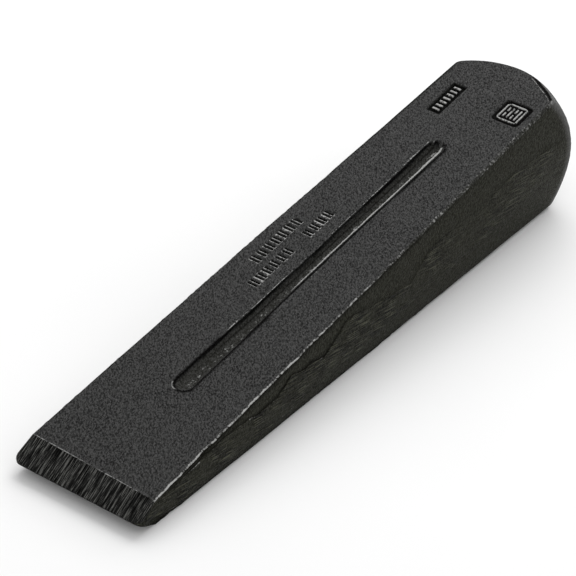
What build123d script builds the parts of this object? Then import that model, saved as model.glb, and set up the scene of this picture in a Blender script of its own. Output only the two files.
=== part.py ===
"""Felling wedge: one drop-forged steel body lying on its lower cheek.

Millimetres. +X runs from the cutting edge to the poll, +Z up. The origin is under the middle of the bounding
box, on the plane of the lower cheek. The shape is drawn about the parting plane of the forging dies, which
halves the wedge's thickness, and turned onto its lower cheek at the end.
"""

import math
import os

from build123d import *

# Side profile, about the parting plane
OVERALL_LENGTH = 240.0
HALF_WEDGE_ANGLE = 4.63
BEVEL_LENGTH = 8.0
BEVEL_HALF_HEIGHT = 4.8
CUTTING_EDGE_HALF_HEIGHT = 0.4

# Plan outline along the trimmed flash band
HALF_WIDTH_AT_CUTTING_EDGE = 24.5
SIDE_TAPER_ANGLE = 0.44
CUTTING_CORNER_RADIUS = 2.6

# Narrow sides: an upright trimmed band, then die draft up to each cheek
BAND_HALF_HEIGHT = 4.5
DRAFT_ANGLE = 8.8

# Crowned striking poll
CROWN_RADIUS = 34.0

# Edge rounding
CHEEK_EDGE_RADIUS = 1.2
POLL_EDGE_RADIUS = 1.5
LONG_EDGE = 200.0
CLEAR_OF_BAND = 1.0

# Groove along each cheek, from distances along the cheek past the cutting edge
GROOVE_START = 47.6
GROOVE_END = 186.1
GROOVE_WIDTH = 5.2
GROOVE_DEPTH = 1.7
GROOVE_OFFSET = -0.7

# Stamped panels near the poll, on the upper cheek
STAMP_DEPTH = 0.6
BAR_PANEL_CENTRE = (206.5, 10.9)
BAR_PANEL_SIZE = (16.6, 5.2)
BAR_COUNT = 7
BAR_SIZE = (0.9, 2.8)
BAR_PITCH = 2.1
MARK_PANEL_CENTRE = (211.5, -12.0)
MARK_PANEL_SIZE = (11.4, 10.4)
MARK_PANEL_CORNER_RADIUS = 1.6
MARK_FRAME_SIZE = (8.9, 7.9)
MARK_FRAME_CORNER_RADIUS = 1.2
MARK_FRAME_LINE = 0.7
HATCH_COUNT = 4
HATCH_PITCH = 1.45
HATCH_SIZE = (5.4, 0.7)
HATCH_BREAK = 0.9

# Two rows of stamped tally strokes beside the groove
STROKE_DEPTH = 0.35
STROKE_SIZE = (0.7, 3.6)
STROKE_GAP = 1.4
STROKE_PITCH = 3.55
STROKES_PER_MARK = 2
ROW_INNER_Y = 9.2
ROW_OUTER_Y = 15.5
ROW_GROUPS = (
    (107.1, ROW_INNER_Y, 6),
    (131.9, ROW_INNER_Y, 4),
    (118.2, ROW_OUTER_Y, 7),
)

SLOPE = math.tan(math.radians(HALF_WEDGE_ANGLE))
TAPER = math.tan(math.radians(SIDE_TAPER_ANGLE))
RUN_OUT = OVERALL_LENGTH + BEVEL_LENGTH
WIDE = 60.0


def cheek_height(x):
    """Half the wedge's thickness at x, with the cheeks carried on past the bevels."""
    return BEVEL_HALF_HEIGHT + (x - BEVEL_LENGTH) * SLOPE


# Plan outline, rounded at the cutting corners
half_width_at_run_out = HALF_WIDTH_AT_CUTTING_EDGE - RUN_OUT * TAPER
with BuildSketch(Plane.XY) as outline:
    Polygon(
        (0, -HALF_WIDTH_AT_CUTTING_EDGE),
        (RUN_OUT, -half_width_at_run_out),
        (RUN_OUT, half_width_at_run_out),
        (0, HALF_WIDTH_AT_CUTTING_EDGE),
        align=None,
    )
    fillet(outline.vertices().group_by(Axis.X)[0], CUTTING_CORNER_RADIUS)

# Trimmed band and drafted halves
draft_height = cheek_height(RUN_OUT)
band = extrude(outline.sketch, BAND_HALF_HEIGHT, both=True)
upper = extrude(Pos(Z=BAND_HALF_HEIGHT) * outline.sketch, draft_height, taper=DRAFT_ANGLE)
lower = mirror(upper, Plane.XY)
blank = band + upper + lower

# Cheeks and cutting bevels
with BuildSketch(Plane.XZ) as profile:
    Polygon(
        (0, -CUTTING_EDGE_HALF_HEIGHT),
        (BEVEL_LENGTH, -BEVEL_HALF_HEIGHT),
        (RUN_OUT, -cheek_height(RUN_OUT)),
        (RUN_OUT, cheek_height(RUN_OUT)),
        (BEVEL_LENGTH, BEVEL_HALF_HEIGHT),
        (0, CUTTING_EDGE_HALF_HEIGHT),
        align=None,
    )
body = blank & extrude(profile.sketch, WIDE, both=True)

# Crowned poll
crown_centre = OVERALL_LENGTH - CROWN_RADIUS
crown = Pos(X=crown_centre) * Sphere(CROWN_RADIUS)
shank = Pos(X=crown_centre / 2) * Box(crown_centre, 2 * WIDE, 2 * WIDE)
body = body & (crown + shank)

# Rounded cheek and poll edges
cheek_edges = [e for e in body.edges() if e.length > LONG_EDGE and abs(e.center().Z) > BAND_HALF_HEIGHT + CLEAR_OF_BAND]
body = fillet(cheek_edges, CHEEK_EDGE_RADIUS)
poll_edges = body.edges().filter_by(GeomType.CIRCLE).filter_by(lambda e: e.center().X > crown_centre)
body = fillet(poll_edges, POLL_EDGE_RADIUS)

# Grooves, one along each cheek: a round-bottomed channel with ball ends
upper_cheek = Plane(origin=(0, 0, cheek_height(0)), x_dir=(1, 0, SLOPE), z_dir=(-SLOPE, 0, 1))
groove_radius = ((GROOVE_WIDTH / 2) ** 2 + GROOVE_DEPTH**2) / (2 * GROOVE_DEPTH)
groove_rise = groove_radius - GROOVE_DEPTH
groove_length = GROOVE_END - GROOVE_START - GROOVE_WIDTH
groove_middle = (GROOVE_START + GROOVE_END) / 2
groove = Rot(Y=90) * Cylinder(groove_radius, groove_length)
for way in (-1, 1):
    groove += Pos(X=way * groove_length / 2) * Sphere(groove_radius)
groove = upper_cheek * Pos(groove_middle, GROOVE_OFFSET, groove_rise) * groove
body = body - groove - mirror(groove, Plane.XY)

# Stamped panel of raised bars
with BuildSketch(upper_cheek) as bar_panel:
    with Locations(BAR_PANEL_CENTRE):
        Rectangle(*BAR_PANEL_SIZE)
        with GridLocations(BAR_PITCH, 0, BAR_COUNT, 1):
            Rectangle(*BAR_SIZE, mode=Mode.SUBTRACT)
body = body - extrude(bar_panel.sketch, -STAMP_DEPTH)

# Stamped panel of a raised frame round four raised hatch lines, every second one broken in the middle
inside_line = 2 * MARK_FRAME_LINE
with BuildSketch(upper_cheek) as mark_panel:
    with Locations(MARK_PANEL_CENTRE):
        RectangleRounded(*MARK_PANEL_SIZE, MARK_PANEL_CORNER_RADIUS)
        RectangleRounded(*MARK_FRAME_SIZE, MARK_FRAME_CORNER_RADIUS, mode=Mode.SUBTRACT)
        RectangleRounded(
            MARK_FRAME_SIZE[0] - inside_line,
            MARK_FRAME_SIZE[1] - inside_line,
            MARK_FRAME_CORNER_RADIUS - MARK_FRAME_LINE,
        )
        with GridLocations(0, HATCH_PITCH, 1, HATCH_COUNT):
            Rectangle(*HATCH_SIZE, mode=Mode.SUBTRACT)
        with Locations((0, HATCH_PITCH / 2)):
            with GridLocations(0, 2 * HATCH_PITCH, 1, HATCH_COUNT // 2):
                Rectangle(HATCH_BREAK, HATCH_SIZE[1])
body = body - extrude(mark_panel.sketch, -STAMP_DEPTH)

# Rows of stamped strokes, in pairs
with BuildSketch(upper_cheek) as strokes:
    for middle, row_y, count in ROW_GROUPS:
        with Locations((middle, row_y)):
            with GridLocations(STROKE_PITCH, 0, count, 1):
                with GridLocations(STROKE_GAP, 0, STROKES_PER_MARK, 1):
                    Rectangle(*STROKE_SIZE)
body = body - extrude(strokes.sketch, -STROKE_DEPTH)

# Turned to lie on the lower cheek, with the middle of the bounding box over the origin
angle = math.radians(HALF_WEDGE_ANGLE)
lowest_x = -CUTTING_EDGE_HALF_HEIGHT * math.sin(angle)
highest_x = crown_centre * math.cos(angle) + CROWN_RADIUS
rest_height = cheek_height(0) * math.cos(angle)
wedge_body = Pos(-(lowest_x + highest_x) / 2, 0, rest_height) * Rot(Y=-HALF_WEDGE_ANGLE) * body
wedge_body.label = "wedge_body"

os.makedirs("parts", exist_ok=True)
export_step(wedge_body, "parts/wedge_body.step")
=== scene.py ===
"""Looks of the drop-forged felling wedge: one detailed steel body, black paint, a pale floor and soft light.

The body is drawn in millimetres about the parting plane of its dies, x from the cutting edge to the poll and z up.
It is then turned onto its lower cheek, scaled to metres and set where the CAD body lies.
"""

import math

import bmesh
import bpy
import numpy as np
from mathutils import Euler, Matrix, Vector


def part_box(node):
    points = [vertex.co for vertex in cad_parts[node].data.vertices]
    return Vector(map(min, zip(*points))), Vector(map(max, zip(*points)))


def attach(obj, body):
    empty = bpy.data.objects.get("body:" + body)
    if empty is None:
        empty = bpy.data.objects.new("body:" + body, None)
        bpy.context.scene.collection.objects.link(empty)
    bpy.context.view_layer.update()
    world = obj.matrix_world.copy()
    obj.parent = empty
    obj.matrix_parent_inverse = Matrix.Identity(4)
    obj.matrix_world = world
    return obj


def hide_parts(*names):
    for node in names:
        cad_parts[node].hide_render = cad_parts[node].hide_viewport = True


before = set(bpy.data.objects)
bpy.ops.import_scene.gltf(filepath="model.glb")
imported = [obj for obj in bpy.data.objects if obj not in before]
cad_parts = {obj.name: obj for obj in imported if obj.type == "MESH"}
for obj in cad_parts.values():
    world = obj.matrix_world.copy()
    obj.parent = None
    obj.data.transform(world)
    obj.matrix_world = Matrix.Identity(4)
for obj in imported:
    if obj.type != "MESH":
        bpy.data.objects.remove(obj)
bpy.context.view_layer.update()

NODE = "wedge_body"
MM = 0.001

# Side profile
HALF_WEDGE_ANGLE = math.radians(4.63)
SLOPE = math.tan(HALF_WEDGE_ANGLE)
CHEEK_HEIGHT_AT_EDGE = 4.121
EDGE_HALF_HEIGHT = 0.4
NOSE_REACH = 0.18
NOSE_FLATNESS = 0.5
BEVEL_LENGTH = 8.06
BEVEL_SKEW = 0.0295
SKEW_FADES_BY = 34.0

# Plan outline
HALF_WIDTH_AT_EDGE = 24.19
SIDE_TAPER = 0.01815
CORNER_RADIUS = 2.6
CORNER_FLARE = 0.35
CORNER_FLARE_LENGTH = 5.0
BARREL_AT_EDGE = 0.335
BARREL_AT_POLL = 2.86
BARREL_POWER = 1.69
POLL_X = 235.0

# Crowned poll, an ellipsoid
CROWN_CENTRE_X = 206.9
CROWN_AXES = (33.1, 34.3, 34.9)
POLL_EDGE_RADIUS = 0.9
WARP_STARTS = 217.5
WARP_POWER = 1.9
POLL_LIP_INSET = 2.45

# Rounding of the four long edges
EDGE_RADIUS_FRONT = 0.38
EDGE_RADIUS_POLL = 2.3
EDGE_RADIUS_POLL_EXPOSED = 1.3
EDGE_GROWS = (90, 225)
EDGE_TANGENT = 0.81
EDGE_MOST_OF_HEIGHT = 0.35
EDGE_ARC_WEIGHT = 0.72

# Groove on each cheek, by distance along the cheek past the cutting edge
GROOVE_START = 47.6
GROOVE_END = 186.1
GROOVE_OFFSET = -0.7
GROOVE_AT = (47.0, 62.0, 100.0, 144.0, 168.0, 187.0)
GROOVE_HALF_WIDTHS = (3.3, 3.25, 2.6, 2.55, 2.8, 3.05)
GROOVE_DEPTHS = (1.0, 1.2, 1.55, 1.65, 1.65, 1.5)

# Stamps on the upper cheek
STAMP_DEPTH = 0.6
STAMP_RAMP = 0.28
BAR_PANEL = (206.5, 10.9, 16.6, 5.2)
BAR_COUNT = 7
BAR_SIZE = (0.9, 2.8)
BAR_PITCH = 2.1
MARK_PANEL = (211.5, -12.0, 11.4, 10.4)
MARK_CORNER = 1.6
MARK_FRAME = (8.9, 7.9)
MARK_FRAME_CORNER = 0.75 * MARK_CORNER
MARK_LINE = 0.7
HATCH_COUNT = 4
HATCH_PITCH = 1.45
HATCH_WIDTH = 0.7
HATCH_LENGTH = 5.4
HATCH_BREAK = 0.9
STROKE_DEPTH = 0.35
STROKE_RAMP = 0.24
STROKE_SIZE = (0.7, 3.6)
STROKE_GAP = 1.4
STROKE_RIM = 0.5
STROKE_RIM_SHIFT = (0.15, 0.1)
STROKE_PITCH = 3.55
ROW_GROUPS = ((107.1, 9.2, 6), (131.9, 9.2, 4), (118.2, 15.5, 7))

# Upper edge of the trimmed flash band on the right side, (distance from the cutting edge, height)
BAND_EDGE = (
    (0, 3.8), (19, 4.1), (27, 5.4), (33, 5.0), (41, 6.1), (50.5, 5.0), (58, 3.6), (66, 3.4), (74, 6.8),
    (79, 5.2), (90, 4.0), (103.5, 8.7), (117, 6.0), (137, 2.3), (148, 8.8), (160.5, 8.5), (176, 7.1),
    (198, 9.6), (213, 7.6), (221, 6.1), (227, 4.8), (235, 3.0),
)
BAND_EDGE_RAGGED = 0.6
BAND_STEP = 0.22
BAND_GRAIN_TILT = math.radians(-12)

# The same line for the sides that the photo doesn't show, which is guessed
HIDDEN_BAND_EDGE = ((0, 3.8), (20, 4.6), (60, 5.2), (130, 6.4), (235, 6.0))
HIDDEN_BAND_EDGE_RAGGED = 1.5

# Mesh lines
CHEEK_FIXED_HALF = 17.3
GROOVE_REACH = 3.5
GROOVE_ZONE = 3.6
CLOSEST_COLUMNS = 0.11
CLOSEST_STATIONS = 0.19
OUTER_SHARES = (0.16, 0.33, 0.5, 0.68, 0.84, 0.94, 0.975, 1.0)
BAND_LINES = 8
BAND_GAP = 0.12
DRAFT_SHARES = (1, 0.93, 0.85, 0.7, 0.5, 0.25, 0)
ROUND_LINES = 3
CORNER_ANGLES = (0, 15, 30, 45, 60, 75, 90)
BEVEL_STATIONS = (3.3, 4.1, 4.9, 5.7, 6.5, 7.2, 7.65, 7.9)
PAST_BEVEL = 0.15
WARP_RINGS = 22
POLL_ROUND_LINES = 4
CROWN_FIRST_GUESS = 225.0
CROWN_TRIES = 12
DOME_RINGS = 14
DOME_POWER = 0.95

# Nominal distances of the long edges and of the cheek's outer columns from the middle plane
EDGE_Y = 24.0
SIDE_LABEL = 24.2
OUTER_LABEL = 21.0


def lattice_noise(u, v, seed):
    """Smooth noise from -1 to 1 over u and v, one feature per unit."""
    table = np.random.default_rng(seed).uniform(-1, 1, (256, 256))
    u, v = np.broadcast_arrays(np.asarray(u, float), np.asarray(v, float))
    iu, iv = np.floor(u).astype(int), np.floor(v).astype(int)
    fu, fv = u - iu, v - iv
    fu, fv = fu * fu * (3 - 2 * fu), fv * fv * (3 - 2 * fv)
    a, b = table[iu & 255, iv & 255], table[(iu + 1) & 255, iv & 255]
    c, d = table[iu & 255, (iv + 1) & 255], table[(iu + 1) & 255, (iv + 1) & 255]
    return (a + (b - a) * fu) * (1 - fv) + (c + (d - c) * fu) * fv


def layered_noise(u, v, seed, layers=3):
    """Sum of halving layers of smooth noise."""
    total = 0
    for layer in range(layers):
        total = total + lattice_noise(u * 2**layer, v * 2**layer, seed + layer) / 2**layer
    return total


def smooth(x, low, high):
    """0 at low, 1 at high, smooth between."""
    t = np.clip((x - low) / (high - low), 0, 1)
    return t * t * (3 - 2 * t)


def bell(value, centre, width, power=2):
    """1 at the centre, falling to 0 over about twice the width."""
    return np.exp(-(((value - centre) / width) ** power))


def arc(t, start, corner, end, weight):
    """Point at t of the rounding from start to end about a corner."""
    blend = (1 - t) ** 2 + 2 * weight * t * (1 - t) + t**2
    return ((1 - t) ** 2 * start + 2 * weight * t * (1 - t) * corner + t**2 * end) / blend


def spaced_lines(features, low, high, gaps, closest):
    """Grid lines from low to high: every feature, then fill so no gap is wider than gaps(x)."""
    kept = [low]
    for x in sorted(f for f in features if low < f < high):
        if x - kept[-1] >= closest:
            kept.append(x)
    kept.append(high)
    lines = []
    for start, end in zip(kept, kept[1:]):
        count = max(1, math.ceil((end - start) / gaps((start + end) / 2)))
        lines.extend(start + (end - start) * k / count for k in range(count))
    return np.array(lines + [high])


# Base surfaces


def cheek_height(x):
    """Height of the cheek above the parting plane."""
    return CHEEK_HEIGHT_AT_EDGE + x * SLOPE


def bevel_line(y):
    """Distance of the bevel's upper edge from the cutting edge."""
    return BEVEL_LENGTH + BEVEL_SKEW * y


def top_height(x, y):
    """Height of the upper cheek or bevel above the parting plane."""
    line = bevel_line(y)
    rise = (cheek_height(line) - EDGE_HALF_HEIGHT) / line
    return np.minimum(cheek_height(x), EDGE_HALF_HEIGHT + rise * x)


def corner_inset(x):
    """How far the plan outline draws in at the rounded cutting corners."""
    near = np.clip(CORNER_RADIUS - x, 0, CORNER_RADIUS)
    return CORNER_RADIUS - np.sqrt(CORNER_RADIUS**2 - near**2)


def half_width(x):
    """Half width along a cheek's long edge."""
    flare = CORNER_FLARE * bell(x, 0, CORNER_FLARE_LENGTH)
    return HALF_WIDTH_AT_EDGE - SIDE_TAPER * x - corner_inset(x) + flare


def barrel(x):
    """How far the side bulges at the parting plane."""
    return BARREL_AT_EDGE + (BARREL_AT_POLL - BARREL_AT_EDGE) * np.clip(x, 0, None) / POLL_X


def side_y(x, z):
    """Distance of the side's surface from the middle plane."""
    share = np.clip(np.abs(z) / cheek_height(x), 0, 1)
    return half_width(x) + barrel(x) * (1 - share**BARREL_POWER)


def edge_tangent(x, y):
    """How far each column's long edge rounding reaches along the cheek."""
    at_poll = np.where(EXPOSED, EDGE_RADIUS_POLL_EXPOSED, EDGE_RADIUS_POLL)
    radius = EDGE_RADIUS_FRONT + (at_poll - EDGE_RADIUS_FRONT) * smooth(x, *EDGE_GROWS)
    return EDGE_TANGENT * np.minimum(radius, EDGE_MOST_OF_HEIGHT * top_height(x, y))


def band_edge(x, side, half):
    """Height of the trimmed band's ragged edge on one side (-1 right, 1 left) and half (1 upper, -1 lower)."""
    seed = 40 + 3 * side + half
    ragged = 0.9 * layered_noise(x / 7.0, 0.5, seed) + 0.5 * lattice_noise(x / 1.9, 0.5, seed + 9)
    seen = side < 0 and half > 0
    line = BAND_EDGE if seen else HIDDEN_BAND_EDGE
    depth = BAND_EDGE_RAGGED if seen else HIDDEN_BAND_EDGE_RAGGED
    heights = np.interp(x, *np.array(line, float).T) + depth * ragged
    return np.clip(heights, 1.0, cheek_height(x) - 1.1)


# Mesh lines: columns that run along the body and rings, or stations, that go round it


def ramp_lines(centre, width, ramp):
    """The four lines at which a raised or sunk strip starts and stops rising."""
    return [centre + side * (width + way * ramp) / 2 for side in (-1, 1) for way in (-1, 1)]


def evenly(centre, pitch, count):
    """Places of a row of marks about its centre."""
    return [centre + (k - (count - 1) / 2) * pitch for k in range(count)]


def stroke_places(middle, count):
    """Places along a cheek of the paired strokes of one group."""
    return [pair + side * STROKE_GAP / 2 for pair in evenly(middle, STROKE_PITCH, count) for side in (-1, 1)]


def cheek_features(upper):
    """Places across a cheek where a column is needed."""
    lines = [GROOVE_OFFSET + side * GROOVE_REACH for side in (-1, 1)]
    if upper:
        for width in (BAR_PANEL[3], BAR_SIZE[1]):
            lines += ramp_lines(BAR_PANEL[1], width, STAMP_RAMP)
        for _, row, _ in ROW_GROUPS:
            lines += ramp_lines(row, STROKE_SIZE[1], STROKE_RAMP)
        for width in (MARK_PANEL[3], MARK_FRAME[1], MARK_FRAME[1] - 2 * MARK_LINE):
            lines += ramp_lines(MARK_PANEL[1], width, STAMP_RAMP)
        for row in evenly(MARK_PANEL[1], HATCH_PITCH, HATCH_COUNT):
            lines += ramp_lines(row, HATCH_WIDTH, STAMP_RAMP)
    return lines


def upper_gap(y):
    """Widest gap between columns of the upper cheek, close in the groove and where the stamps are."""
    if abs(y - GROOVE_OFFSET) < GROOVE_ZONE:
        return 0.32
    return 0.55 if y > 7 or y < -6.5 else 0.9


def lower_gap(y):
    """The same for the lower cheek, which has only the groove."""
    return 0.6 if abs(y - GROOVE_OFFSET) < GROOVE_ZONE else 2.0


def fixed_lines(upper):
    """Columns that keep their distance from the middle plane all along a cheek."""
    gap = upper_gap if upper else lower_gap
    return spaced_lines(cheek_features(upper), -CHEEK_FIXED_HALF, CHEEK_FIXED_HALF, gap, CLOSEST_COLUMNS)


def station_features():
    """Places along the body where a ring is needed."""
    lines = []
    for middle, _, count in ROW_GROUPS:
        for place in stroke_places(middle, count):
            lines += ramp_lines(place, STROKE_SIZE[0], STROKE_RAMP)
    lines += ramp_lines(BAR_PANEL[0], BAR_PANEL[2], STAMP_RAMP)
    for place in evenly(BAR_PANEL[0], BAR_PITCH, BAR_COUNT):
        lines += ramp_lines(place, BAR_SIZE[0], STAMP_RAMP)
    for length in (MARK_PANEL[2], MARK_FRAME[0], MARK_FRAME[0] - 2 * MARK_LINE, HATCH_LENGTH, HATCH_BREAK):
        lines += ramp_lines(MARK_PANEL[0], length, STAMP_RAMP)
    return [x * math.cos(HALF_WEDGE_ANGLE) for x in lines]


def station_gap(x):
    """Widest gap between rings: close at the groove's ends, the bevel and the stamped panels."""
    if 46 < x < 53 or 179 < x < 187:
        return 0.45
    if x < 14 or 203 < x < WARP_STARTS:
        return 0.5
    return 0.92 if x < 90 else 1.55


# Smooth skin, as rings of points. Every ring has the same columns, whose kinds and shares place them in a section.


def column_layout():
    """For each column round the section: kind, side, half and share, as arrays."""
    rows = []

    def cheek(top):
        line = [("outer", -1, top, s) for s in OUTER_SHARES[::-1]]
        line += [("fixed", 0, top, y) for y in fixed_lines(top > 0)]
        line += [("outer", 1, top, s) for s in OUTER_SHARES]
        return line

    def rounding(side, top):
        return [("round", side, top, k / (ROUND_LINES + 1)) for k in range(1, ROUND_LINES + 1)]

    def flank(side):
        band = np.linspace(1, 0, BAND_LINES + 1)
        line = [("draft", side, 1, s) for s in DRAFT_SHARES] + [("band", side, 1, s) for s in band]
        line += [("band", side, -1, s) for s in band[::-1][1:]]
        return line + [("draft", side, -1, s) for s in DRAFT_SHARES[::-1]]

    rows += cheek(1)
    rows += rounding(1, 1)
    rows += flank(1)
    rows += rounding(1, -1)[::-1]
    rows += cheek(-1)[::-1]
    rows += rounding(-1, -1)
    rows += flank(-1)[::-1]
    rows += rounding(-1, 1)[::-1]
    kinds = np.array([r[0] for r in rows])
    return kinds, *(np.array([r[k] for r in rows], float) for k in (1, 2, 3))


KIND, SIDE, HALF, SHARE = column_layout()
COLUMNS = len(KIND)
IS_FIXED, IS_OUTER = KIND == "fixed", KIND == "outer"
IS_ROUND, IS_BAND, IS_DRAFT = KIND == "round", KIND == "band", KIND == "draft"
ON_CHEEK = IS_FIXED | IS_OUTER
ON_SIDE = IS_BAND | IS_DRAFT
IS_UPPER = HALF > 0

# The upper half of the right side, which the photo shows
EXPOSED = (SIDE < 0) & IS_UPPER


def lateral_label():
    """The y by which the bevel's skew shifts each column."""
    return np.where(IS_FIXED, SHARE, SIDE * np.where(ON_CHEEK, OUTER_LABEL, SIDE_LABEL))


def section(x):
    """y and z of every column at x (one x per column)."""
    reach = edge_tangent(x, SIDE * EDGE_Y)
    height = top_height(x, SIDE * EDGE_Y)
    inner = half_width(x) - reach
    y = np.where(IS_FIXED, SHARE, SIDE * (CHEEK_FIXED_HALF + SHARE * (inner - CHEEK_FIXED_HALF)))
    z = HALF * top_height(x, y)

    # roundings, as an arc between the cheek and the side
    drop = height - reach
    round_y = arc(SHARE, inner, side_y(x, height), side_y(x, drop), EDGE_ARC_WEIGHT)
    round_z = arc(SHARE, height, height, drop, EDGE_ARC_WEIGHT)
    y = np.where(IS_ROUND, SIDE * round_y, y)
    z = np.where(IS_ROUND, HALF * round_z, z)

    # sides
    edge = np.zeros(COLUMNS)
    for side in (-1, 1):
        for half in (-1, 1):
            here = ON_SIDE & (SIDE == side) & (HALF == half)
            edge[here] = band_edge(x[here], side, half)
    edge = np.minimum(edge, 0.8 * drop)
    gap = np.minimum(BAND_GAP, 0.05 * drop)
    side_z = np.where(IS_BAND, SHARE * (edge - gap), edge + gap + SHARE * (drop - edge - gap))
    z = np.where(ON_SIDE, HALF * side_z, z)
    y = np.where(ON_SIDE, SIDE * side_y(x, z), y)
    return y, z


def crown_x(y, z):
    """x of the crown's surface over y and z."""
    a, b, c = CROWN_AXES
    return CROWN_CENTRE_X + a * np.sqrt(np.clip(1 - (y / b) ** 2 - (z / c) ** 2, 0, None))


def crown_meeting():
    """x at which each column meets the crown, found by halving the way to it."""
    x = np.full(COLUMNS, CROWN_FIRST_GUESS)
    for _ in range(CROWN_TRIES):
        x = 0.5 * x + 0.5 * crown_x(*section(x))
    return x


def ring_at(x):
    """Ring of points at x (one x per column)."""
    y, z = section(x)
    return np.stack([x, y, z], axis=-1)


def unit(v):
    """v at length 1."""
    return v / np.linalg.norm(v, axis=-1, keepdims=True)


def crown_path(corner):
    """Function that gives the points at a share of each column's way from its corner to the crown's apex."""
    centre, axes = np.array([CROWN_CENTRE_X, 0, 0]), np.array(CROWN_AXES)
    globe = unit((corner - centre) / axes)
    apex = np.array([1.0, 0, 0])
    span = np.arccos(np.clip(globe @ apex, -1, 1))[:, None]

    def on_crown(share):
        point = (np.sin((1 - share) * span) * globe + np.sin(share * span) * apex) / np.sin(span)
        return centre + axes * point

    return on_crown, span


def skin_rings():
    """Rings of points from the cutting edge's nose to the last ring before the apex, and how many end the body."""
    skew = BEVEL_SKEW * lateral_label()
    line = BEVEL_LENGTH + skew

    # bevels and body
    corner_stations = CORNER_RADIUS * (1 - np.cos(np.radians(CORNER_ANGLES)))
    rings = [ring_at(x * line / BEVEL_LENGTH) for x in (*corner_stations, *BEVEL_STATIONS)]
    rings.insert(0, rings[0] * (1, 1, NOSE_FLATNESS) + (-NOSE_REACH, 0, 0))
    stations = spaced_lines(station_features(), BEVEL_LENGTH, WARP_STARTS, station_gap, CLOSEST_STATIONS)
    for x in np.insert(stations, 1, BEVEL_LENGTH + PAST_BEVEL):
        fade = np.clip((SKEW_FADES_BY - x) / (SKEW_FADES_BY - BEVEL_LENGTH), 0, 1)
        rings.append(ring_at(x + skew * fade))

    # rings that bend until they follow the crown's edge
    meet = crown_meeting()
    corner = ring_at(meet)
    on_crown, span = crown_path(corner)
    along = unit(ring_at(meet - 0.5) - corner)
    inward = unit(on_crown(0.05) - corner)
    bend = np.pi - np.arccos(np.clip((along * inward).sum(-1), -1, 1))
    reach = (POLL_EDGE_RADIUS * np.tan(bend / 2))[:, None]
    stop = corner + along * reach
    for share in np.linspace(0, 1, WARP_RINGS + 1)[1:-1]:
        bent = 1 - (1 - share) ** WARP_POWER
        rings.append(ring_at(WARP_STARTS + bent * (stop[:, 0] - WARP_STARTS)))
    rings.append(stop)

    # rounding between the body and the crown, then the crown
    for k in range(1, POLL_ROUND_LINES + 1):
        t = k / (POLL_ROUND_LINES + 1)
        rings.append(arc(t, stop, corner, corner + inward * reach, np.cos(bend / 2)[:, None]))
    body_rings = len(rings)
    share_start = reach / (span * np.linalg.norm(CROWN_AXES) / math.sqrt(3))
    for k in range(DOME_RINGS):
        rings.append(on_crown(share_start + (1 - share_start) * (k / DOME_RINGS) ** DOME_POWER))
    return np.array(rings), body_rings


# Relief

# The masks in turn: wear with painted highlights; bevel grinding; trimmed band; recesses, darkened as painted
# shade; painted shade; olive sides, darkened as painted shade; struck paint with painted light at the poll.
MASKS = ("wear_and_highlight", "ground", "trimmed", "sunk", "painted_shade", "flank", "struck_and_lit")


def strip(value, centre, width, ramp):
    """1 inside a strip, 0 outside it, with a ramp across each edge."""
    return np.clip((width / 2 + ramp / 2 - np.abs(value - centre)) / ramp, 0, 1)


def rounded_box(u, v, centre_u, centre_v, length, width, radius):
    """Signed distance outside a rounded rectangle."""
    du = np.abs(u - centre_u) - length / 2 + radius
    dv = np.abs(v - centre_v) - width / 2 + radius
    outside = np.hypot(np.clip(du, 0, None), np.clip(dv, 0, None))
    return outside + np.minimum(np.maximum(du, dv), 0) - radius


def groove_relief(u, v):
    """Depth, lip, floor, painted shade, and wear with painted highlights, of the groove at a point of a cheek."""
    half = np.interp(u, GROOVE_AT, GROOVE_HALF_WIDTHS) + 0.10 * layered_noise(u / 9.0, 0.5, 5)
    ends = np.clip(u, GROOVE_START + half, GROOVE_END - half)
    rho = np.hypot(u - ends, v - GROOVE_OFFSET) / half
    across = np.clip((v - GROOVE_OFFSET) / half, -1, 1)
    left = across > 0
    on_floor = rho < 0.8

    # steep wall on the left, gentle one on the right, rough floor between
    far = np.clip(1 - rho**4.5, 0, 1) ** 0.75
    near = np.clip(1 - rho**1.6, 0, 1)
    bowl = near + (far - near) * smooth(across, -0.35, 0.35)
    rough = 0.10 * layered_noise(u / 0.9, v / 1.6, 11) + 0.10 * lattice_noise(u / 3.0, v / 0.9, 12)
    depth = np.interp(u, GROOVE_AT, GROOVE_DEPTHS) * bowl + rough * smooth(1 - rho, 0.12, 0.45)
    floor = smooth(1 - rho, -0.02, 0.25)
    lip = bell(rho, np.where(left, 1.21, 1.38), 0.08)

    # painted shade on the walls, and a painted dark streak at the foot of the left one
    starts, ends = np.where(left, 0.85, 0.93), np.where(left, 1.10, 1.26)
    groove_painted_shade = smooth(rho, starts, starts + 0.07) * (1 - smooth(rho, ends, ends + 0.06))
    streak = bell(across - 0.50, 0.05 * lattice_noise(u / 11.0, 0.5, 19), 0.09) * on_floor
    groove_painted_shade = np.maximum(groove_painted_shade, 0.85 * streak * smooth(u, 55, 75))

    # painted highlight on the right wall, fading in along the groove, and flecks
    right_wall_highlight = smooth(-across, 0.30, 0.42) * (1 - smooth(rho, 0.68, 0.78))
    right_wall_highlight = right_wall_highlight * smooth(u + 9 * lattice_noise(u / 4.0, 0.5, 33), 70, 130)
    flecks = np.clip(0.38 + 0.2 * layered_noise(u / 1.2, v / 1.6, 15), 0, 1)
    flecks = flecks * smooth(0.35 - across, 0, 0.4) * on_floor
    return depth, lip, floor, groove_painted_shade, np.maximum(0.95 * right_wall_highlight, flecks)


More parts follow.
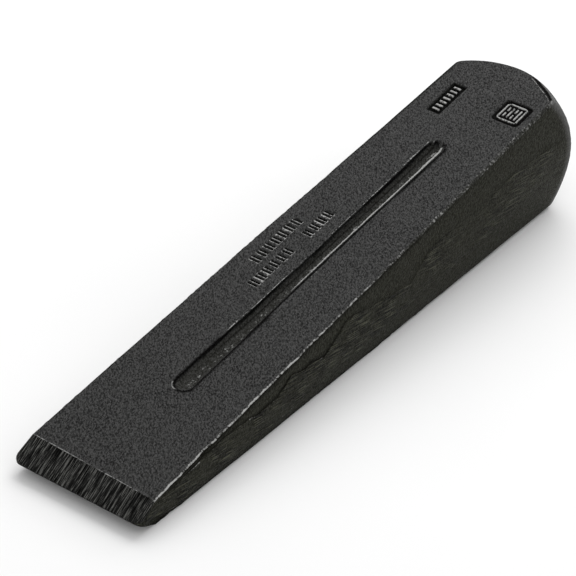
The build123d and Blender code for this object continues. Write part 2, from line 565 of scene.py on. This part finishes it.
def stroke_relief(u, v):
    """The sunk strokes of the rows, and slightly larger ones, shifted, whose uncovered part is the rim, a painted
    highlight on one side of each stroke.
    """
    length, width = STROKE_SIZE
    strokes, rims = 0, 0
    for middle, row, count in ROW_GROUPS:
        across = strip(v, row, width, STROKE_RAMP)
        rim_across = strip(v, row - STROKE_RIM_SHIFT[1], width + STROKE_RIM, STROKE_RAMP)
        for place in stroke_places(middle, count):
            strokes = np.maximum(strokes, across * strip(u, place, length, STROKE_RAMP))
            rim = strip(u, place - STROKE_RIM_SHIFT[0], length + STROKE_RIM, STROKE_RAMP)
            rims = np.maximum(rims, rim * rim_across)
    return strokes, rims


def bar_relief(u, v):
    """Sunk part and raised bars of the left panel."""
    at, row, length, width = BAR_PANEL
    panel = strip(u, at, length, STAMP_RAMP) * strip(v, row, width, STAMP_RAMP)
    bars = 0
    for place in evenly(at, BAR_PITCH, BAR_COUNT):
        bar = strip(u, place, BAR_SIZE[0], STAMP_RAMP) * strip(v, row, BAR_SIZE[1], STAMP_RAMP)
        bars = np.maximum(bars, bar)
    return panel - bars, bars


def mark_relief(u, v):
    """Sunk part of the right panel, and its raised frame and hatch lines, every second one broken."""
    at, row, length, width = MARK_PANEL
    panel = np.clip(0.5 - rounded_box(u, v, at, row, length, width, MARK_CORNER) / STAMP_RAMP, 0, 1)
    off_line = np.abs(rounded_box(u, v, at, row, *MARK_FRAME, MARK_FRAME_CORNER) + MARK_LINE / 2)
    lines = np.clip((MARK_LINE / 2 + STAMP_RAMP / 2 - off_line) / STAMP_RAMP, 0, 1)
    for k, place in enumerate(evenly(row, HATCH_PITCH, HATCH_COUNT)):
        hatch = strip(v, place, HATCH_WIDTH, STAMP_RAMP) * strip(u, at, HATCH_LENGTH, STAMP_RAMP)
        if k % 2:
            hatch = hatch * (1 - strip(u, at, HATCH_BREAK, STAMP_RAMP))
        lines = np.maximum(lines, hatch)
    return panel - lines, lines


def stamp_relief(u, v):
    """Depth, floors, raised tops and stroke rims of the stamps at a point of the upper cheek."""
    strokes, rims = stroke_relief(u, v)
    bars, bar_tops = bar_relief(u, v)
    mark, mark_tops = mark_relief(u, v)
    depth = STROKE_DEPTH * strokes + STAMP_DEPTH * (bars + mark)
    floors = np.clip(strokes + bars + mark, 0, 1)
    return depth, floors, np.maximum(bar_tops, mark_tops), rims


def normals_of(rings):
    """Outward normals of the ring grid."""
    down = np.gradient(rings, axis=0)
    around = np.roll(rings, -1, axis=1) - np.roll(rings, 1, axis=1)
    return unit(np.cross(down, around))


class Relief:
    """Lift along the normals, push off the middle plane and masks, for every point of the smooth skin."""

    def __init__(self, rings, body_rings):
        self.x, self.y, self.z = np.moveaxis(rings, -1, 0)
        self.left, self.top = self.y > 0, self.z > 0
        self.body = (np.arange(len(rings)) < body_rings)[:, None]
        self.cheek = ON_CHEEK & (self.x > bevel_line(self.y) - 0.05) & self.body
        self.short_of_end = rings[body_rings - 1, :, 0] - self.x
        self.lift, self.push = np.zeros_like(self.x), np.zeros_like(self.x)
        self.masks = {name: np.zeros_like(self.x) for name in MASKS}

    def raise_by(self, height, where=True):
        self.lift += np.where(where, height, 0)

    def push_in(self, depth, where):
        self.push -= np.where(where, depth, 0)

    def mark(self, name, values, where=True):
        """Brings a mask up to these values, where they are above it."""
        self.masks[name] = np.maximum(self.masks[name], np.where(where, values, 0))


def carve_cheeks(skin):
    """Slow waviness, groove and stamps."""
    x, y, cheek = skin.x, skin.y, skin.cheek
    u = x / math.cos(HALF_WEDGE_ANGLE)
    wave = 0.05 * layered_noise(x / 21.0, y / 17.0 + 7 * skin.top, 3) + 0.018 * layered_noise(x / 3.1, y / 2.7, 8)
    depth, lip, floor, groove_painted_shade, right_wall_highlight = groove_relief(u, y)
    skin.raise_by(wave + 0.06 * lip - depth, cheek)
    # floor darkened, walls near black: painted shade
    skin.mark("sunk", floor, cheek)
    skin.mark("painted_shade", groove_painted_shade, cheek)
    skin.mark("wear_and_highlight", right_wall_highlight, cheek)
    # wear and a painted highlight along the lip, stronger on the left
    lip_wear_and_highlight = np.where(y > GROOVE_OFFSET, 0.74, 0.42) + 0.12 * lattice_noise(u / 6.0, 1.5, 31)
    skin.mark("wear_and_highlight", lip * lip_wear_and_highlight, cheek)

    stamped = cheek & IS_UPPER
    depth, floors, tops, rims = stamp_relief(u, y)
    skin.raise_by(-depth, stamped)
    # painted highlights on the raised tops and on the shifted stroke rims
    skin.mark("wear_and_highlight", np.maximum(0.76 * tops, 0.76 * rims * (1 - floors)), stamped)
    # recess floors darkened to near black: painted shade
    skin.mark("sunk", 0.8 * floors, stamped)
    skin.mark("painted_shade", 0.95 * floors, stamped)


def carve_bevels(skin):
    """Grinding marks down the slopes, and the burr where they meet the cheeks."""
    x, y = skin.x, skin.y
    bevel = ON_CHEEK & ~skin.cheek & skin.body
    grinding = layered_noise(y / 1.05, x / 24.0 + 4 * skin.top, 17, 2) + 0.6 * lattice_noise(y / 2.6, x / 18.0, 21)
    skin.raise_by(0.07 * grinding * smooth(x, 0.1, 1.2), bevel)
    skin.mark("ground", 1.0, bevel)
    burr = bell(x, bevel_line(y), 0.22) * (0.75 + 0.25 * lattice_noise(y / 3.0, 3.5, 23))
    skin.raise_by(0.08 * burr, ON_CHEEK)
    skin.mark("wear_and_highlight", 0.84 * burr, ON_CHEEK)


def carve_band(skin):
    """Proud trimmed band with slanted shear marks and a painted highlight along its brink, fainter towards the
    poll.
    """
    x, z, left = skin.x, skin.z, skin.left
    band = IS_BAND & skin.body
    along = x * math.cos(BAND_GRAIN_TILT) + z * math.sin(BAND_GRAIN_TILT)
    over = z * math.cos(BAND_GRAIN_TILT) - x * math.sin(BAND_GRAIN_TILT)
    shear = layered_noise(along / 11.0, over / 1.1 + 31 * left, 51)
    step = BAND_STEP * smooth(x, 2, 30) * (1 - 0.75 * smooth(x, 95, 140))
    skin.raise_by(step + 0.07 * shear * smooth(x, 3, 25), band)
    skin.mark("trimmed", 1 - 0.55 * smooth(x, 105, 165), band)
    brink_highlight = np.clip(0.35 + layered_noise(x / 3.0, 2.5 + (7 * left + 3 * skin.top), 57), 0, 1)
    skin.mark("wear_and_highlight", 0.6 * (brink_highlight * (1 - 0.9 * smooth(x, 90, 130))), band & (SHARE > 0.99))


def carve_draft(skin):
    """Slow dents above and below the band, with painted shade along it and under the long edges."""
    x, z, body = skin.x, skin.z, skin.body
    slow = layered_noise(x / 16.0, z / 9.0 + 13 * skin.left, 61)
    skin.raise_by(0.07 * slow * smooth(x, 6, 40), (IS_DRAFT | IS_ROUND) & body)
    # olive sides, darker than the cheeks as painted shade; above 1 the mask only lowers the sheen, more towards
    # the poll
    skin.mark("flank", 1 + 0.6 * smooth(x, 90, 190), ON_SIDE & body)
    skin.mark("flank", 0.5, IS_ROUND & body)
    below_edge = np.clip(top_height(x, EDGE_Y) - np.abs(z), 0, None)
    shade = 0.8 * bell(below_edge, 0, 1.3) * smooth(x, 8, 14) * (1 - 0.6 * smooth(x, 120, 200))
    skin.mark("painted_shade", shade, IS_DRAFT & body)
    along_band = 0.7 * (1 - 0.8 * smooth(x, 90, 130)) * smooth(x, 12, 25)
    skin.mark("painted_shade", along_band, IS_DRAFT & (SHARE < 0.1) & body)


def carve_long_edges(skin):
    """Nicks, most of them towards the cutting edge, one dent, and wear with a painted highlight along the crest,
    strongest on the upper right edge.
    """
    x, left, body = skin.x, skin.left, skin.body
    near_edge = (IS_ROUND | (IS_OUTER & (SHARE > 0.8))) & body
    sharp = 1 - smooth(x, 60, 150)
    ragged = np.clip(layered_noise(x / 3.3, 0.5 + 5 * left + 9 * skin.top, 71), -1.2, 1.2)
    small = 0.20 * lattice_noise(x / 1.5, 0.5 + 5 * left, 75) * (1 - smooth(x, 120, 200))
    skin.push_in((0.16 * (ragged + 0.5) * sharp + small) * smooth(x, 6, 14), near_edge)
    skin.push_in(0.9 * (bell(x, 7.5, 6.0) * smooth(-skin.z, -1, 2)), body & ~ON_CHEEK)
    dented = (near_edge | (IS_DRAFT & body)) & ~left & skin.top
    skin.push_in(0.55 * bell(x, 31, 2.6), dented)

    on_cheek = np.where(IS_OUTER & (SHARE > 0.93), SHARE**12, 0)
    crest_wear_and_highlight = np.where(IS_ROUND & (SHARE < 0.8), 1.0, on_cheek) * np.where(EXPOSED, 1.0, 0.4)
    patchy = (0.10 + 0.10 * sharp) * layered_noise(x / 2.6, 0.5 + 5 * left, 77, 2)
    skin.mark("wear_and_highlight", crest_wear_and_highlight * smooth(x, 4.5, 7.5) * (0.45 + 0.26 * sharp + patchy), body)


def carve_crown(skin):
    """Uneven crown, rubbed grey at its rim and on the last of the sides, partly struck paint and partly painted
    light.
    """
    y, z, dome = skin.y, skin.z, ~skin.body
    skin.raise_by(0.10 * layered_noise(y / 9.0, z / 9.0, 81), dome)
    grey = 0.25 + 0.75 * np.exp(skin.short_of_end / 2.5) + 0.2 * layered_noise(y / 5.0, z / 5.0, 85)
    skin.mark("struck_and_lit", np.clip(grey, 0, 1), dome)
    end_strip = np.where(ON_SIDE | IS_ROUND, 4.2, 0.35)
    skin.mark("struck_and_lit", smooth(-skin.short_of_end, -end_strip, 0), skin.body)


def carve_poll_end(skin):
    """Lip with a painted highlight and a painted shade before it, across the right of the upper cheek's end, a
    painted light strip past it, and painted shade on the rims elsewhere.
    """
    y, short, body = skin.y, skin.short_of_end, skin.body
    right_end = smooth(-y, 2, 9) * (ON_CHEEK & IS_UPPER) * body
    inset = POLL_LIP_INSET * smooth(-y, 0, 14)
    skin.mark("wear_and_highlight", 0.76 * (bell(short, inset, 0.25) * right_end))
    skin.mark("painted_shade", bell(short - inset, -1.0, 0.7, 4) * right_end)
    # past the lip: a strip set slightly lower and painted lighter, painted light
    past_lip = smooth(inset - 1.7 - short, 0, 0.2) * right_end
    skin.mark("struck_and_lit", past_lip)
    skin.raise_by(-0.12 * past_lip)
    # painted shade along the rounded long edges, except the upper right one, and across the cheeks' ends away from
    # the right
    skin.mark("painted_shade", 0.8 * smooth(skin.x, 2, 12), IS_ROUND & ~EXPOSED & body)
    skin.mark("painted_shade", 0.8 * (1 - right_end), (short < 0.3) & ON_CHEEK & body)


CARVINGS = (carve_cheeks, carve_bevels, carve_band, carve_draft, carve_long_edges, carve_crown, carve_poll_end)


def carve(rings, body_rings):
    """Adds the relief to the smooth skin and returns the points and the masks."""
    skin = Relief(rings, body_rings)
    for add_relief in CARVINGS:
        add_relief(skin)

    # nothing stands out of the lower cheek, which the wedge lies on
    resting = ON_CHEEK & (skin.z < 0) & skin.body
    lift = np.where(resting, np.minimum(skin.lift, 0), skin.lift)
    points = rings + normals_of(rings) * lift[..., None]
    points[..., 1] += np.sign(skin.y) * skin.push
    return points, skin.masks


# Mesh


def lie_down(points):
    """Turns points so that the lower cheek is level."""
    cos, sin = math.cos(HALF_WEDGE_ANGLE), math.sin(HALF_WEDGE_ANGLE)
    x, y, z = points[..., 0], points[..., 1], points[..., 2]
    return np.stack([x * cos - z * sin, y, x * sin + z * cos], -1)


def skin_faces(count):
    """Quads between the rings, a fan round the apex and a cap on the nose."""
    index = np.arange(count * COLUMNS).reshape(count, COLUMNS)
    next_column = np.roll(index, -1, axis=1)
    quads = np.stack([index[:-1], next_column[:-1], next_column[1:], index[1:]], -1).reshape(-1, 4).tolist()
    apex = count * COLUMNS
    fan = [[int(a), int(b), apex] for a, b in zip(index[-1], next_column[-1])]
    return quads + fan + [index[0][::-1].tolist()]


def build_skin():
    """The wedge as one closed mesh, in metres, where the CAD body lies."""
    rings, body_rings = skin_rings()
    points, masks = carve(rings, body_rings)
    apex = points[-1].mean(axis=0) + (CROWN_CENTRE_X + CROWN_AXES[0] - rings[-1, :, 0].mean(), 0, 0)
    vertices = lie_down(np.vstack([points.reshape(-1, 3), apex]))
    smooth_x = lie_down(rings)[..., 0]
    middle = (smooth_x.min() + NOSE_REACH + smooth_x.max()) / 2
    low, high = (np.array(c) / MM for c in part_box(NODE))
    rest_height = CHEEK_HEIGHT_AT_EDGE * math.cos(HALF_WEDGE_ANGLE) + low[2]
    vertices += ((low[0] + high[0]) / 2 - middle, (low[1] + high[1]) / 2, rest_height)

    mesh = bpy.data.meshes.new("wedge")
    mesh.from_pydata((vertices * MM).tolist(), [], skin_faces(len(points)))
    mesh.validate()
    for name, values in masks.items():
        layer = mesh.attributes.new(name, "FLOAT", "POINT")
        layer.data.foreach_set("value", np.append(values.ravel(), values[-1].mean()).astype(np.float32))
    mesh.polygons.foreach_set("use_smooth", [True] * len(mesh.polygons))
    shell = bmesh.new()
    shell.from_mesh(mesh)
    bmesh.ops.recalc_face_normals(shell, faces=shell.faces)
    shell.to_mesh(mesh)
    shell.free()
    mesh.update()
    return mesh


# Materials


class Graph:
    """Short-hand for building a node tree. Inputs are named with _ in place of spaces."""

    def __init__(self, material):
        material.use_nodes = True
        self.tree = material.node_tree
        self.tree.nodes.clear()

    def add(self, kind, props=None, **inputs):
        node = self.tree.nodes.new(kind)
        for name, value in (props or {}).items():
            setattr(node, name, value)
        for name, value in inputs.items():
            self.put(node, name.replace("_", " "), value)
        return node

    def put(self, node, socket, value):
        """Sets a socket, given by its name or number, to a value or links it to another node's output."""
        target = node.inputs[int(socket)] if socket.isdigit() else node.inputs[socket]
        if isinstance(value, bpy.types.NodeSocket):
            self.tree.links.new(value, target)
        else:
            target.default_value = value

    def noise(self, vector, scale, detail=2.0, roughness=0.5):
        node = self.add("ShaderNodeTexNoise", Vector=vector, Scale=scale, Detail=detail, Roughness=roughness)
        return node.outputs["Fac"]

    def math(self, operation, a, b):
        node = self.tree.nodes.new("ShaderNodeMath")
        node.operation = operation
        self.put(node, "0", a)
        self.put(node, "1", b)
        return node.outputs[0]

    def plus(self, a, b):
        return self.math("ADD", a, b)

    def times(self, a, b):
        return self.math("MULTIPLY", a, b)

    def rest_of(self, value):
        return self.math("SUBTRACT", 1.0, value)

    def remap(self, value, low, high, to_low, to_high):
        node = self.add("ShaderNodeMapRange", Value=value)
        for socket, number in (("From Min", low), ("From Max", high), ("To Min", to_low), ("To Max", to_high)):
            self.put(node, socket, number)
        return node.outputs["Result"]

    def blend(self, factor, a, b):
        node = self.tree.nodes.new("ShaderNodeMix")
        node.data_type = "RGBA"
        self.put(node, "0", factor)
        self.put(node, "6", a)
        self.put(node, "7", b)
        return node.outputs[2]

    def grain_space(self, vector, sizes, rotation=(0, 0, 0)):
        """Space in which noise of scale 1 has grains of these sizes along the turned axes."""
        props = {"vector_type": "TEXTURE"}
        node = self.add("ShaderNodeMapping", props, Vector=vector, Rotation=rotation, Scale=sizes)
        return node.outputs["Vector"]

    def mask(self, name):
        return self.add("ShaderNodeAttribute", {"attribute_name": name}).outputs["Fac"]

    def surface(self, **inputs):
        """Ends the tree in one surface shader."""
        shader = self.add("ShaderNodeBsdfPrincipled", **inputs)
        output = self.add("ShaderNodeOutputMaterial")
        self.tree.links.new(shader.outputs["BSDF"], output.inputs["Surface"])


BLACK = (0.005, 0.005, 0.0049, 1)
BLACK_LIGHTER = (0.042, 0.042, 0.041, 1)
OLIVE_BLACK = (0.012, 0.012, 0.008, 1)
OLIVE_MIDDLE = (0.019, 0.0192, 0.0115, 1)
OLIVE_LIGHTER = (0.085, 0.086, 0.062, 1)
SHADE_BLACK = (0.001, 0.001, 0.0008, 1)
STRUCK_AND_LIT_GREY = (0.12, 0.12, 0.118, 1)
GROUND_DARK = (0.001, 0.001, 0.0009, 1)
GROUND_MIDDLE = (0.008, 0.008, 0.007, 1)
GROUND_LIGHT = (0.14, 0.14, 0.13, 1)
WEAR_AND_HIGHLIGHT_GREY = (0.42, 0.42, 0.41, 1)
FLOOR_DARKER = (0.90, 0.90, 0.90, 1)
FLOOR_LIGHTER = (0.93, 0.93, 0.93, 1)

# Heights of the finest relief, in metres
PAINT_BUMP = 0.0006
FLOOR_BUMP = 0.0002

# Grain sizes in millimetres, how the grain is turned, and the range of the skin's noise
SKIN_GRAIN = (0.95, 0.52, 0.7)
SKIN_GRAIN_TURN = math.radians(35)
SKIN_RANGE = (0.36, 0.64)
SHEAR_GRAIN = (7.5, 4.0, 0.36)
SHEAR_TILT = math.radians(7.4)
GRIND_GRAIN = (7.0, 0.33, 7.0)


def paint_material():
    """Black paint over rough forged steel, driven by the masks of the skin."""
    material = bpy.data.materials.new("black_paint_on_forged_steel")
    g = Graph(material)
    coordinates = g.add("ShaderNodeTexCoord").outputs["Object"]
    mm = g.grain_space(coordinates, (MM, MM, MM))
    wear_and_highlight, ground, trimmed, sunk, painted_shade, flank, struck_and_lit = (g.mask(n) for n in MASKS)

    # black paint; olive sides, darkened as painted shade; grey where it's struck, partly painted light
    skin_space = g.grain_space(mm, SKIN_GRAIN, (0, 0, SKIN_GRAIN_TURN))
    skin = g.noise(skin_space, 1.0, 2, 0.6)
    fine = g.remap(skin, *SKIN_RANGE, 0, 1)
    patches = g.remap(g.noise(mm, 0.06, 4, 0.6), 0.35, 0.65, 0, 1)
    base = g.blend(fine, BLACK, BLACK_LIGHTER)
    base = g.blend(g.times(patches, 0.25), base, BLACK_LIGHTER)
    shear_space = g.grain_space(mm, SHEAR_GRAIN, (0, SHEAR_TILT, 0))
    shear = g.noise(shear_space, 1.0, 3, 0.55)
    shear_patches = g.remap(g.noise(mm, 0.10, 2, 0.5), 0.42, 0.58, 0.25, 1.4)
    shear_here = g.times(trimmed, shear_patches)
    olive = g.blend(fine, OLIVE_BLACK, OLIVE_MIDDLE)
    base = g.blend(flank, base, olive)
    base = g.blend(g.times(struck_and_lit, 0.9), base, STRUCK_AND_LIT_GREY)

    # light and dark shear lines
    base = g.blend(g.times(shear_here, g.remap(shear, 0.56, 0.585, 0, 1)), base, OLIVE_LIGHTER)
    base = g.blend(g.times(shear_here, g.remap(shear, 0.45, 0.425, 0, 1)), base, SHADE_BLACK)

    # painted shade: recesses darker, shaded parts near black
    base = g.blend(g.times(sunk, 0.6), base, OLIVE_BLACK)
    base = g.blend(painted_shade, base, SHADE_BLACK)

    # ground bevels
    grind_space = g.grain_space(mm, GRIND_GRAIN)
    grind = g.noise(grind_space, 1.0, 3, 0.65)
    grind_colour = g.blend(g.remap(grind, 0.44, 0.50, 0, 1), GROUND_DARK, GROUND_MIDDLE)
    grind_colour = g.blend(g.remap(grind, 0.54, 0.585, 0, 1), grind_colour, GROUND_LIGHT)
    base = g.blend(ground, base, grind_colour)

    # paint chipped off worn edges, partly real wear and partly painted highlights on crests, lips, rims and the
    # groove's right wall
    chips = g.noise(mm, 1.3, 2, 0.6)
    ragged_wear_and_highlight = g.plus(wear_and_highlight, g.times(chips, 1.4))
    chipped_and_highlight = g.times(g.remap(ragged_wear_and_highlight, 1.18, 1.42, 0, 1), g.remap(wear_and_highlight, 0.3, 0.75, 0.25, 1))
    base = g.blend(chipped_and_highlight, base, WEAR_AND_HIGHLIGHT_GREY)

    # gloss
    gloss = g.remap(g.noise(mm, 0.9, 3, 0.6), 0.3, 0.7, 0.50, 0.66)
    gloss = g.plus(gloss, g.times(sunk, 0.08))
    gloss = g.math("SUBTRACT", gloss, g.times(chipped_and_highlight, 0.15))
    sheen = g.remap(skin, *SKIN_RANGE, 0.05, 0.22)
    grind_sheen = g.remap(grind, 0.40, 0.62, 0.01, 0.30)
    sheen = g.plus(g.times(sheen, g.rest_of(ground)), g.times(grind_sheen, ground))
    sheen = g.times(sheen, g.rest_of(g.times(painted_shade, 0.85)))
    sheen = g.times(sheen, g.rest_of(g.times(flank, 0.22)))

    # fine relief
    grit = g.noise(mm, 3.2, 2, 0.5)
    relief = g.plus(g.times(skin, 0.9), g.times(grit, 0.2))
    relief = g.plus(relief, g.times(g.times(shear, shear_here), 2.0))
    relief = g.plus(relief, g.times(g.times(grind, ground), 2.2))
    bump = g.add("ShaderNodeBump", Strength=1.0, Distance=PAINT_BUMP, Height=relief)

    g.surface(Base_Color=base, Roughness=gloss, Normal=bump.outputs["Normal"], Specular_IOR_Level=sheen)
    return material


def floor_material():
    """Pale, nearly even floor."""
    material = bpy.data.materials.new("pale_floor")
    g = Graph(material)
    coordinates = g.add("ShaderNodeTexCoord").outputs["Object"]
    tone = g.remap(g.noise(coordinates, 6.0, 3, 0.5), 0.3, 0.7, 0, 1)
    colour = g.blend(tone, FLOOR_DARKER, FLOOR_LIGHTER)
    grit = g.noise(coordinates, 900.0, 2, 0.5)
    bump = g.add("ShaderNodeBump", Strength=0.05, Distance=FLOOR_BUMP, Height=grit)
    g.surface(Base_Color=colour, Roughness=0.9, Normal=bump.outputs["Normal"])
    return material


# Stage, light and camera

FLOOR_HALF = 4.0
FLOOR_DROP = 0.0001
AMBIENT = 0.72
LIGHTS = (
    # name, direction from the wedge, distance, side length, watts
    ("key_softbox", (0.68, 0.20, 0.70), 1.8, 1.7, 24.0),
)
CAMERA_PLACE = (-0.644299, -0.450081, 0.557173)
CAMERA_TURN = (55.2941, -1.9769, -52.9497)
CAMERA_LENS = 187.5
SENSOR = 36.0


def add_floor():
    mesh = bpy.data.meshes.new("floor")
    grid = bmesh.new()
    bmesh.ops.create_grid(grid, x_segments=8, y_segments=8, size=FLOOR_HALF)
    grid.to_mesh(mesh)
    grid.free()
    mesh.materials.append(floor_material())
    floor = bpy.data.objects.new("floor", mesh)
    floor.location.z = -FLOOR_DROP
    bpy.context.scene.collection.objects.link(floor)


def add_lights():
    scene = bpy.context.scene
    world = bpy.data.worlds.new("soft_surround")
    world.use_nodes = True
    background = world.node_tree.nodes["Background"]
    background.inputs["Color"].default_value = (1, 1, 1, 1)
    background.inputs["Strength"].default_value = AMBIENT
    scene.world = world
    for name, direction, distance, side, watts in LIGHTS:
        lamp = bpy.data.lights.new(name, "AREA")
        lamp.shape, lamp.size, lamp.energy = "SQUARE", side, watts
        place = Vector(direction).normalized()
        light = bpy.data.objects.new(name, lamp)
        light.location = place * distance
        light.rotation_euler = place.to_track_quat("Z", "Y").to_euler()
        scene.collection.objects.link(light)


def add_camera():
    scene = bpy.context.scene
    lens = bpy.data.cameras.new("camera")
    lens.lens, lens.sensor_width, lens.sensor_fit = CAMERA_LENS, SENSOR, "HORIZONTAL"
    lens.clip_start, lens.clip_end = 0.05, 50
    camera = bpy.data.objects.new("camera", lens)
    camera.location = CAMERA_PLACE
    camera.rotation_euler = Euler([math.radians(a) for a in CAMERA_TURN], "XYZ")
    scene.collection.objects.link(camera)
    scene.camera = camera


wedge = bpy.data.objects.new("forged_wedge", build_skin())
bpy.context.scene.collection.objects.link(wedge)
wedge.data.materials.append(paint_material())
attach(wedge, "root")
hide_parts(NODE)

add_floor()
add_lights()
add_camera()
bpy.context.scene.view_settings.view_transform = "Standard"
